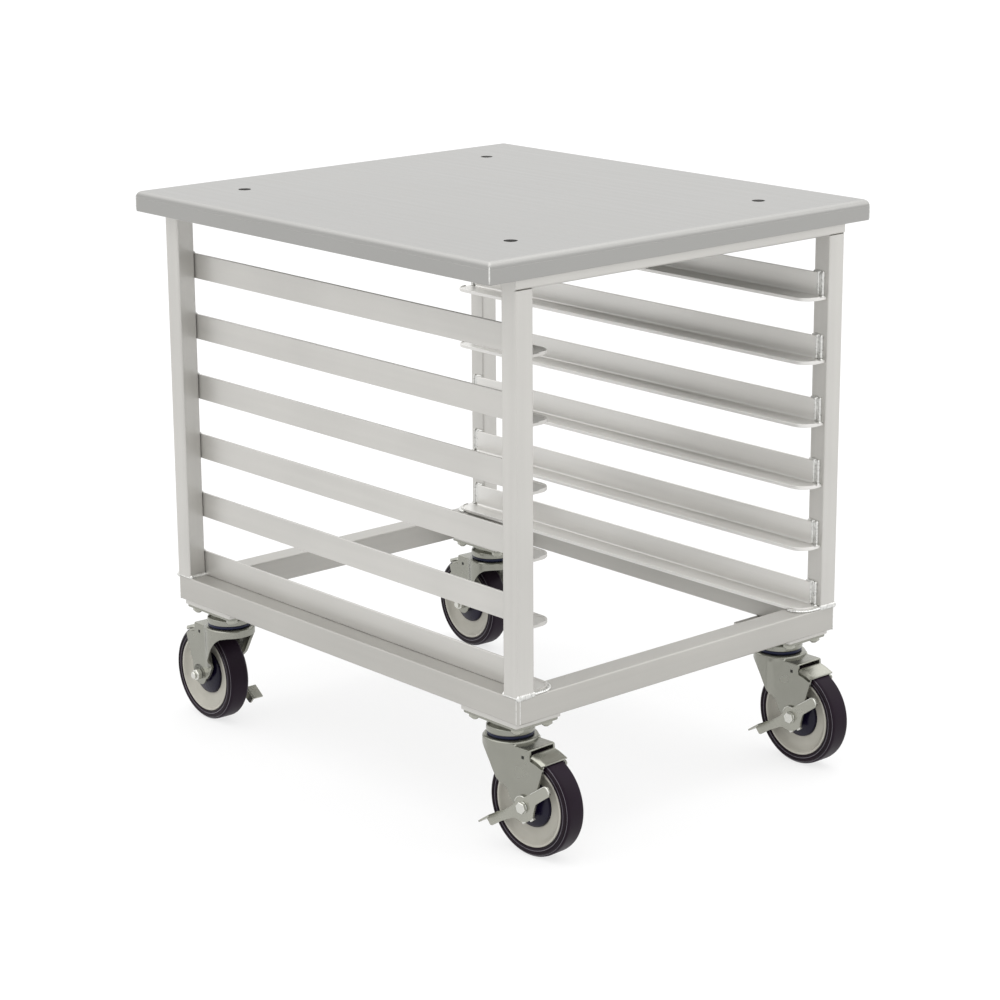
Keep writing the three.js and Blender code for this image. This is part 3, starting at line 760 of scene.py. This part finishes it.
def fork_upper_edge():
    points = [(-70, 111.6), (-69, 114.0), (-60, 117.4), (-PLATFORM_END - 1, 119.6)]
    points += [(-PLATFORM_END, PLATFORM_TOP - 1.2), (-27.2, PLATFORM_TOP - 1.2), (-26.4, CROWN_TOP - 2.5)]
    points += [(CROWN_RADIUS + 1, CROWN_TOP - 2.5)]
    return line_height(points)


FLARE_START, FLARE_ROUND = -31.0, -22.0  # between these the flat side turns out to the round front


def fork_plan(radius, half):
    """Plan of the fork's wall from the rear left, round the front, to the rear right."""
    flat = [-70, -69, -67, -64.5, -62, -60, -58.5, -57.5, -56, -54, -52, -51, -50]
    flat += [-47, -44, -41, -38, -35, -33]
    side = [(half, y) for y in flat]
    reach = math.sqrt(radius ** 2 - FLARE_ROUND ** 2) - half
    for step in range(7):
        part = step / 6
        side.append((half + reach * part ** 2, FLARE_START + (FLARE_ROUND - FLARE_START) * part))
    swing = math.degrees(math.acos(-FLARE_ROUND / radius))
    steps = 64
    middle = []
    for step in range(1, steps):
        angle = math.radians(-swing - (360 - 2 * swing) * step / steps)
        middle.append((radius * math.sin(angle), -radius * math.cos(angle)))
    return [(-x, y) for x, y in side] + middle + list(reversed(side))


LEVER_SWEEP_TOP = 78.0
FLARE_RISE = 13.0


def drawn_in(x, height):
    """The wall stands straight over the lever's sweep, and flares out above it."""
    part = min(max((height - LEVER_SWEEP_TOP) / FLARE_RISE, 0), 1)
    flare = max(abs(x) - FORK_HALF, 0) * (1 - part * part * (3 - 2 * part))
    return x - math.copysign(flare, x)


def fork_wall():
    lower, upper = fork_lower_edge(), fork_upper_edge()
    outer = fork_plan(CROWN_RADIUS, FORK_HALF)
    inner = fork_plan(CROWN_RADIUS - FORK_SHEET, FORK_HALF - FORK_SHEET)
    rings = []
    for (x0, y0), (x1, y1) in zip(outer, inner):
        low, high = lower(y0), upper(y0)
        bend = max(low + 1, LEVER_SWEEP_TOP)
        low_x0, bend_x0 = drawn_in(x0, low), drawn_in(x0, bend)
        low_x1, bend_x1 = x1 + low_x0 - x0, x1 + bend_x0 - x0
        rings.append([(low_x0, y0, low + 0.5), (bend_x0, y0, bend), (x0, y0, high), (x1, y1, high),
                      (bend_x1, y1, bend), (low_x1, y1, low + 0.5), (low_x1 * 0.985, y1, low),
                      (low_x0 * 0.985, y0, low)])
    return loft(rings)


def fork_deck():
    swing = math.degrees(math.asin(FORK_HALF / CROWN_RADIUS))
    outline = [(-FORK_HALF, -PLATFORM_END), (FORK_HALF, -PLATFORM_END)]
    outline += arc((0, 0), CROWN_RADIUS, -90 + swing, 270 - swing, 48)
    under = PLATFORM_TOP - FORK_SHEET
    return rounded(prism(outline, under, PLATFORM_TOP, "Z"), 1.3, 3, 40)


def fork_crown():
    edge = 3.4
    profile = [(7, CROWN_TOP)]
    profile += reversed(arc((CROWN_RADIUS - edge, CROWN_TOP - edge), edge, 0, 90, 6))
    under = PLATFORM_TOP - FORK_SHEET
    profile += [(CROWN_RADIUS, under), (CROWN_RADIUS - FORK_SHEET, under)]
    profile += [(CROWN_RADIUS - FORK_SHEET, CROWN_TOP - FORK_SHEET), (7, CROWN_TOP - FORK_SHEET)]
    return lathe(profile, "Z", sides=64)


def fork_boss(sign):
    outer, inner = sign * FORK_HALF, sign * (FORK_HALF - FORK_SHEET)
    soft = sign * 0.5
    profile = [(5.2, inner), (13.9, inner), (14.0, outer - soft), (13.5, outer), (5.2, outer)]
    return lathe(profile, "X", AXLE, 40)


def build_swivel(corner, place):
    body = f"swivel_{corner}"
    shapes = [fork_wall(), fork_deck(), fork_crown(), fork_boss(-1), fork_boss(1)]
    piece(f"fork_{corner}_pressed", shapes, zinc, body, [f"fork_{corner}"], place)
    _, pin_y, pin_z = SHOE_PIN
    dots = []
    for sign in (-1, 1):
        face = sign * FORK_HALF
        inner, outer = sorted((face - sign, face + sign * 0.12))
        dot = block(inner, outer, pin_y - 2.6, pin_y + 2.3, pin_z - 2.2, pin_z + 2.4)
        dots.append(rounded(dot, 0.5, 1, 60))
    # Painted shade: near-black patches on the fork's plates stand in for the shadow in the shoe pin holes.
    piece(f"pin_hole_painted_shade_{corner}", dots, painted_shade_gap, body, place=place)
    build_axle_bolt(corner, body, place)


LEVER_OUTER = 23.9
LEVER_SHEET = 2.6


def build_axle_bolt(corner, body, place):
    head_base = -LEVER_OUTER - 0.3
    head = hexagon(13, head_base, head_base - 4.8, "X", AXLE, 10, -0.9)
    washer = lathe([(4.8, head_base), (6.9, head_base), (7.2, head_base - 0.4), (6.9, head_base - 0.8),
                    (4.8, head_base - 0.8)], "X", AXLE, 32)
    shank = lathe([(0.01, head_base), (4.8, head_base), (4.8, FORK_HALF + 10.2), (4.0, FORK_HALF + 11),
                   (0.01, FORK_HALF + 11)], "X", AXLE, 24, closed=False)
    nut = hexagon(13, FORK_HALF + 0.3, FORK_HALF + 7.3, "X", AXLE, 20, 0.9)
    piece(f"axle_bolt_{corner}_turned", [head, washer, shank, nut], bright_zinc_and_painted_highlight, body,
          [f"axle_bolt_{corner}"], place)


TYRE_SIDES = 96
TYRE_WALLS = [(50.8, 13.8), (51.4, 14.6), (52.4, 14.9), (53.4, 14.2), (55.6, 14.2), (56.6, 15.3)]
TYRE_WALLS += [(58.6, 15.2), (59.4, 14.5), (59.6, 13.6), (59.6, 4)]
TREAD = [(59.2, 13.0), (60.6, 13.1), (61.5, 12.4), (62.2, 11.2), (62.5, 9.6), (62.5, 4)]
CORE = [(28.2, 3.0), (28.2, 5.4), (29, 6.0), (38.5, 6.4), (42.5, 7.6), (45.4, 10.4), (47.0, 13.2)]
CORE += [(48.0, 14.2), (49.8, 14.4), (50.5, 13.9), (50.5, 8)]
HUB = [(5.3, 17.2), (10.8, 17.2), (11.6, 16.6), (12.6, 13.4), (19, 12.2), (24.6, 11.0)]
HUB += [(27.0, 9.8), (27.9, 8.4), (28.2, 6.5), (28.2, 4.0)]
RIDGES = ((54.5, 14.15, 0.55), (60.1, 13.3, 0.4))  # radius, distance out and thickness


def on_axle(profile, sides=TYRE_SIDES):
    """Half a profile of (radius, distance from the wheel's middle), turned about the axle."""
    return lathe(mirrored(profile), "X", AXLE, sides)


def build_wheel(corner, place):
    body = f"wheel_{corner}"
    piece(f"tyre_{corner}_walls", [on_axle(TYRE_WALLS)], tyre_rubber, body,
          [f"tyre_{corner}"], place)
    piece(f"tyre_{corner}_tread", [on_axle(TREAD)], tread_rubber, body, place=place)
    ridges = []
    for radius, out, thick in RIDGES:
        for sign in (-1, 1):
            ring = [(radius + across, sign * (out + up)) for across, up in arc((0, 0), thick, 0, 315, 7)]
            ridges.append(lathe(ring, "X", AXLE, TYRE_SIDES))
    # painted highlight: the shoulder ridges carry the lighter ridge colour
    piece(f"tyre_{corner}_ridges", ridges, painted_highlight_tyre_ridge, body, place=place)
    piece(f"wheel_core_{corner}_dish", [on_axle(CORE)], core_plastic, body,
          [f"wheel_core_{corner}"], place)
    piece(f"wheel_hub_{corner}", [on_axle(HUB, 72)], hub_plastic, body, place=place)


LEVER_TILT = math.radians(35)
LEVER_TABS = ((-4.5, -17.0), (9.0, -15.0))
LEVER_EDGE = [(-20, 8.7), (-46.5, 8.5), (-49.2, 7.2), (-50.2, 4.6), (-50.2, 0.4), (-48.6, -2.4)]


def lever_outline():
    points = [(-14, 9), (-22, 9.2), (-47, 9)]
    points += arc((-47, 5.2), 3.8, 75, 180, 5)
    points += [(-50.8, -0.6), (-49.6, -3.0), (-47.5, -4.2), (-22, -4.8), (-17, -8.2)]
    points += [(-12.4, -11.8), (-9, -15.4), (-5.7, -17.5), (4, -17), (11.6, -14.2)]
    points += [(14.6, -11.2), (16.9, -8.9), (20, -5.8), (24, -4.4)]
    points += [(44, -1.6), (61, -1), (63.6, 0.6), (64.5, 10.4), (44, 10.4), (36, 8.8), (30, 8), (15.7, 7.7)]
    points += arc((0, 3.5), 10.5, 32, 146, 10)
    return points


def build_lever(corner, place):
    body = f"lever_{corner}"
    outer, inner = -LEVER_OUTER, -LEVER_OUTER + LEVER_SHEET
    arm = rounded(prism(lever_outline(), outer, inner, "X"), 0.6, 2, 60)
    pedal = rounded(block(outer - 14, inner, 44, 64.5, 8.2, 10.4), 0.7, 2, 60)
    hump = arc((0, 3.5), 10.3, 40, 150, 8)
    edges = []
    for line in (LEVER_EDGE, hump):
        edges.append(bead([(outer + 0.1, y, z) for y, z in line], 1.5, 1.8, (1, 0, 0), 0.0, 6))
    for y, z in LEVER_TABS:
        tab = block(outer + 0.1, inner + 1.6, y - 3.2, y + 3.2, z - 2.2, z + 1)
        edges.append(rounded(tab, 0.6, 2, 60))
    swing = Matrix.Translation(AXLE) @ Matrix.Rotation(-LEVER_TILT, 4, "X")
    piece(f"brake_lever_{corner}_pressed", placed([arm, pedal], swing), lever_zinc, body,
          [f"brake_lever_{corner}"], place)
    # Painted highlight: the lever's rims and tabs take the bright zinc to show as bright lines.
    piece(f"brake_lever_{corner}_edges", placed(edges, swing), bright_zinc_and_painted_highlight, body,
          place=place)


def shoe_lip():
    """Flared lip over the tread; its two sides curl down towards the fork's plates."""
    spine = [(-51.7, 126.2), (-53, 126.4), (-56, 125.9), (-60, 124.7), (-64, 123.2)]
    spine += [(-68, 121.5), (-71, 120.3), (-73.4, 119.6)]
    half = FORK_HALF - 0.1
    rings = []
    for row, (y, z) in enumerate(spine):
        along = row / (len(spine) - 1)
        top, under = [], []
        for step in range(-20, 21):
            part = step / 20
            bend = max(0.0, abs(part) - 0.78) / 0.22
            sink = (3.8 - 1.0 * along) * bend ** 1.6
            back = 4.5 * along ** 3 * bend ** 2
            top.append((part * half, y + back, z - sink + 0.8))
            under.append((part * (half - 1.4 * bend), y + back, z - sink - 0.8 + bend * 0.4))
        rings.append(top + list(reversed(under)))
    return loft(rings)


def build_shoe(corner, place):
    outline = [(-39.5, 116.5), (-68, 112), (-69.2, 115.0), (-68, 117.6), (-54, 122.4), (-39.5, 126.5)]
    outline += arc((-39.5, 121.5), 5, 80, -80, 8)
    shapes = [shoe_lip()]
    for sign in (-1, 1):
        inner, outer = sorted((sign * 16.1, sign * 17.8))
        shapes.append(rounded(prism(outline, inner, outer, "X"), 0.4, 1, 60))
    piece(f"brake_shoe_{corner}_pressed", shapes, lever_zinc, f"shoe_{corner}",
          [f"brake_shoe_{corner}"], place)


# ---------------------------------------------------------------- build
build_top()
for end in ("front", "back"):
    build_top_rail(end)
    for side in ("left", "right"):
        build_leg(end, side)
for name in ("front", "back", "left", "right"):
    build_base_rail(name)
build_corner_welds()
slide_welds = []
for side in ("left", "right"):
    for level in LEVELS:
        build_slide(side, level)
        slide_welds += build_slide_welds(side, level)
piece("slide_welds", slide_welds, weld, "rack")
piece("foot_welds", foot_welds(), weld, "rack")
for corner in CORNERS:
    pin, turn = caster_place(corner)
    place = pin @ turn
    build_mounting(corner, pin)
    build_swivel(corner, place)
    build_wheel(corner, place)
    build_lever(corner, place)
    build_shoe(corner, place)


# ---------------------------------------------------------------- stage, light and camera
def pale_floor():
    material, tree, shader = new_material("pale_floor", (0.6, 0.6, 0.6), 0.0, 0.9)
    grain = noise(tree, 1.5, 2)
    tree.links.new(ramp(tree, grain, (0.19, 0.19, 0.19), (0.21, 0.21, 0.21)), shader.inputs["Base Color"])
    shader.inputs["Specular IOR Level"].default_value = 0.0
    shader.inputs["Emission Color"].default_value = (1, 1, 1, 1)
    shader.inputs["Emission Strength"].default_value = 0.74
    half = 30.0
    mesh = bpy.data.meshes.new("floor")
    corners = [(-half, -half, 0), (half, -half, 0), (half, half, 0), (-half, half, 0)]
    mesh.from_pydata(corners, [], [(0, 1, 2, 3)])
    mesh.materials.append(material)
    floor = bpy.data.objects.new("floor", mesh)
    bpy.context.scene.collection.objects.link(floor)


def soft_light(name, spot, target, size, watts):
    data = bpy.data.lights.new(name, "AREA")
    data.shape = "RECTANGLE"
    data.size, data.size_y = size
    data.energy = watts
    lamp = bpy.data.objects.new(name, data)
    lamp.location = spot
    lamp.rotation_euler = (Vector(target) - Vector(spot)).to_track_quat("-Z", "Y").to_euler()
    bpy.context.scene.collection.objects.link(lamp)


def studio():
    world = bpy.data.worlds.new("studio")
    world.use_nodes = True
    tree = world.node_tree
    sky = tree.nodes["Background"]
    place = tree.nodes.new("ShaderNodeTexCoord")
    split = tree.nodes.new("ShaderNodeSeparateXYZ")
    tree.links.new(place.outputs["Generated"], split.inputs["Vector"])
    tint = ramp(tree, split.outputs["Z"], (0.43, 0.43, 0.43), (1.0, 1.0, 1.0), 0.3, 0.95)
    tree.links.new(tint, sky.inputs["Color"])
    sky.inputs["Strength"].default_value = 2.4
    bpy.context.scene.world = world
    soft_light("right_front", (2.8, -2.2, 1.7), (0, 0, 0.4), (1.6, 1.6), 6)
    bpy.context.scene.view_settings.view_transform = "Standard"
    bpy.context.scene.view_settings.look = "None"


CAMERA_ANGLES = (-41.2551, -15.3905, -0.3625)  # yaw, pitch and roll in degrees
CAMERA_SPOT = (-2.23406, -2.54798, 1.24940)
CAMERA_LENS = 100.62


def camera():
    yaw, pitch, roll = (math.radians(angle) for angle in CAMERA_ANGLES)
    forward = Vector((-math.sin(yaw) * math.cos(pitch), math.cos(yaw) * math.cos(pitch), math.sin(pitch)))
    level = Vector((math.cos(yaw), math.sin(yaw), 0))
    above = level.cross(forward)
    right = level * math.cos(roll) + above * math.sin(roll)
    up = above * math.cos(roll) - level * math.sin(roll)
    turn = Matrix((right, up, -forward)).transposed().to_4x4()
    data = bpy.data.cameras.new("camera")
    data.sensor_width = 36
    data.lens = CAMERA_LENS
    data.clip_end = 100
    view = bpy.data.objects.new("camera", data)
    view.matrix_world = Matrix.Translation(CAMERA_SPOT) @ turn
    bpy.context.scene.collection.objects.link(view)
    bpy.context.scene.camera = view


pale_floor()
studio()
camera()
